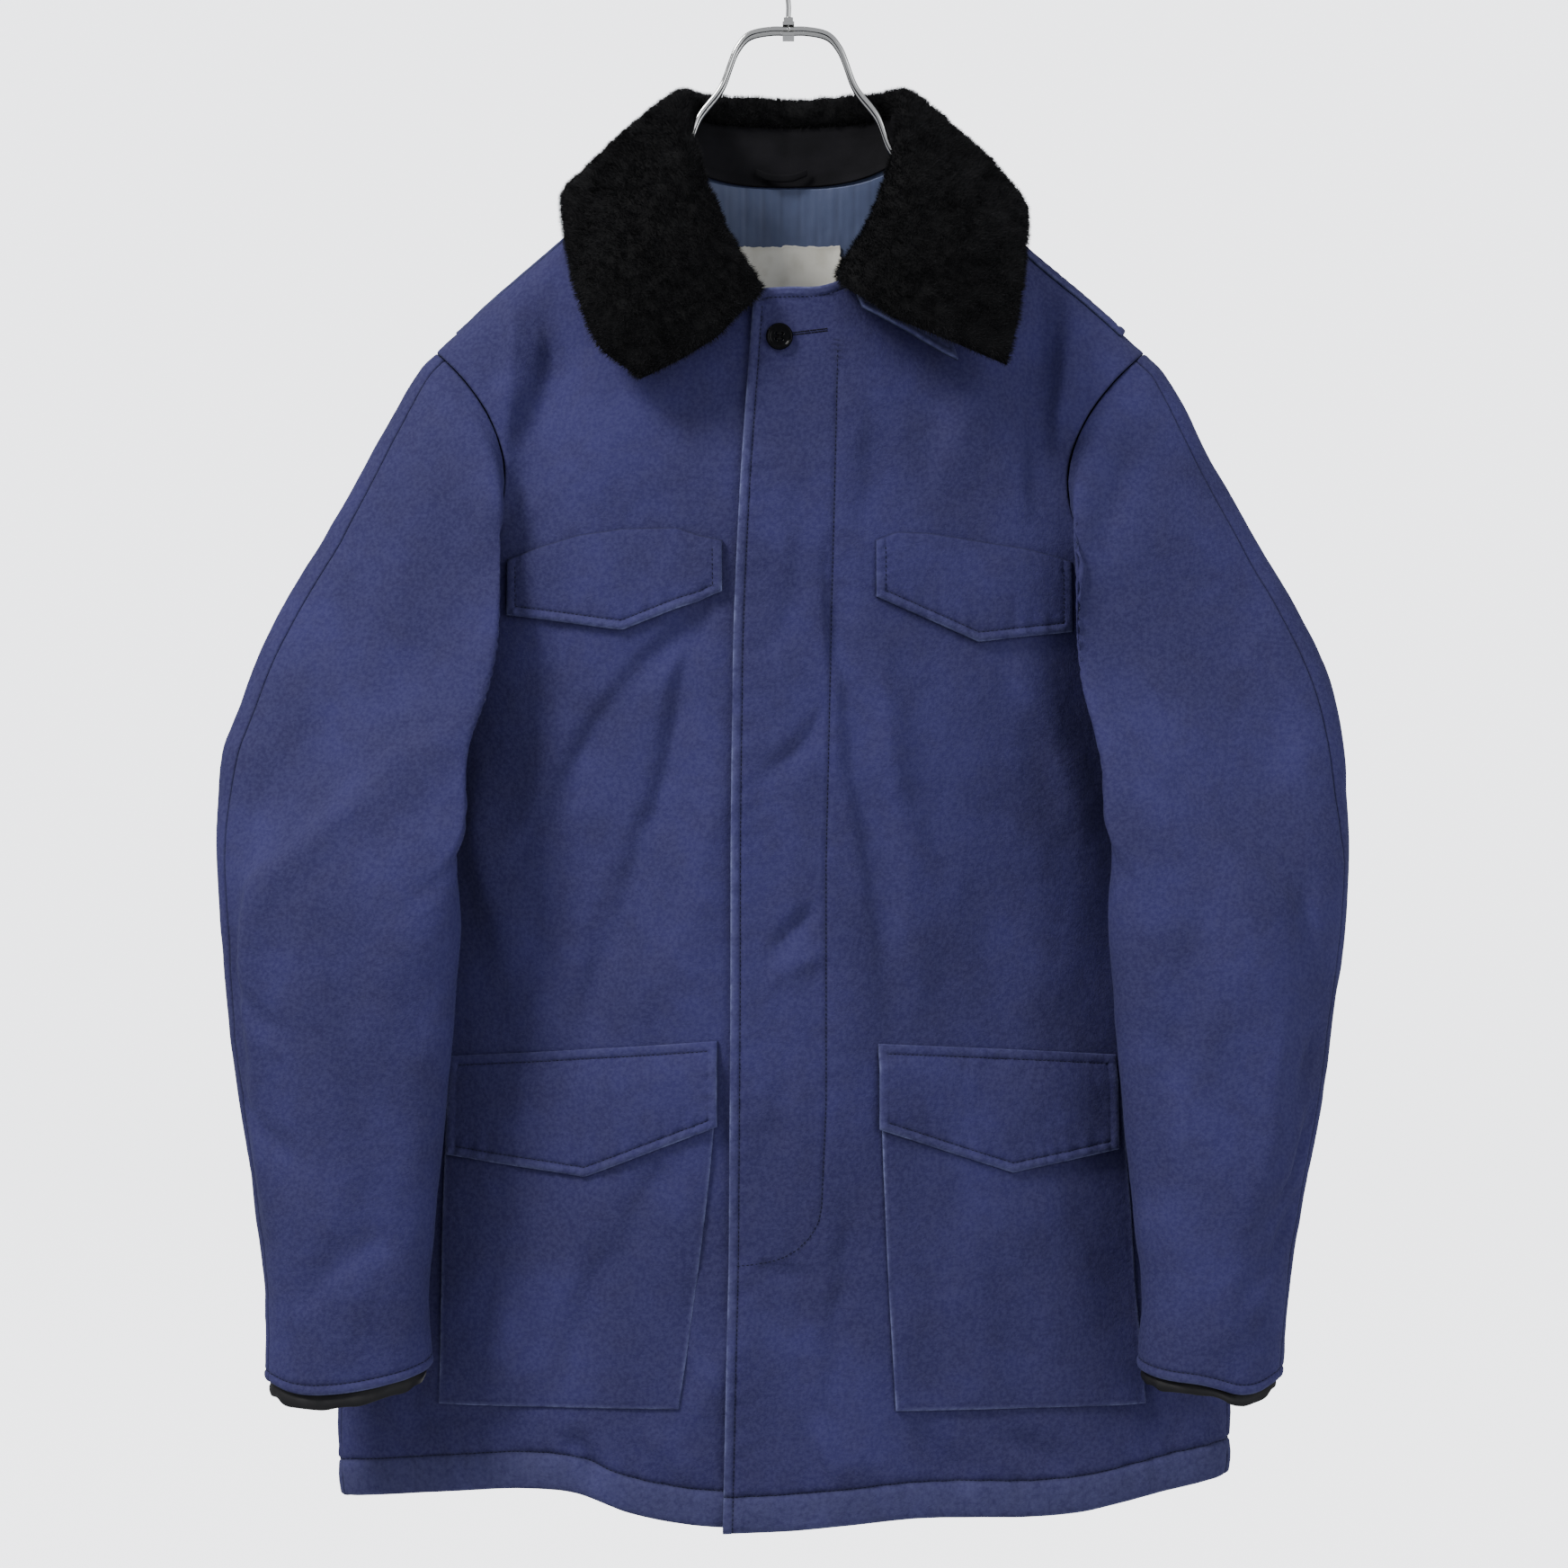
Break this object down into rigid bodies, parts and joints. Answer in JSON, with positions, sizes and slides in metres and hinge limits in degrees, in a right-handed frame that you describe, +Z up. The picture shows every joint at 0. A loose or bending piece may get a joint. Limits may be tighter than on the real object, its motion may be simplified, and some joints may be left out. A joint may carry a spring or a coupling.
{
  "type": "pile-collared padded winter jacket on a wire hanger",
  "caption": "Hip-length padded work jacket with a pile collar, covered front, flap pockets and shoulder straps, buttoned at the neck and hanging on a twin-wire hanger.",
  "frame": {"origin": "the point inside the top of the hanger's hook that rests on a rod", "axes": "+Z up along the hanging jacket, +X to the wearer's left, +Y from the jacket's front to its back"},
  "size_m": [0.7624, 0.195, 1.0825],
  "materials": {
    "shell": "matt woven cotton, lightly worn",
    "black_cloth": "matt knitted and woven cloth",
    "pile": "short dense pile",
    "lining": "smooth lining cloth",
    "label": "blank woven tape",
    "button": "polished",
    "chrome": "bright plated wire"
  },
  "bodies": {
    "root": {"front_right": "shell", "front_left": "shell", "back": "shell", "sleeve_upper_right": "shell", "sleeve_upper_left": "shell", "sleeve_under_right": "shell", "sleeve_under_left": "shell", "chest_flap_right": "shell", "chest_flap_left": "shell", "pocket_flap_right": "shell", "pocket_flap_left": "shell", "pocket_right": "shell", "pocket_left": "shell", "collar_under": "shell", "shoulder_strap_right": "shell", "shoulder_strap_left": "shell", "throat_tab": "shell", "cuff_right": "black_cloth", "cuff_left": "black_cloth", "collar_stand": "black_cloth", "hang_loop": "black_cloth", "collar_fur": "pile", "neck_lining": "lining", "label": "label", "neck_button": "button", "hanger_wire": "chrome", "hanger_clamp": "chrome", "hanger_hook": "chrome"}
  },
  "joints": []
}
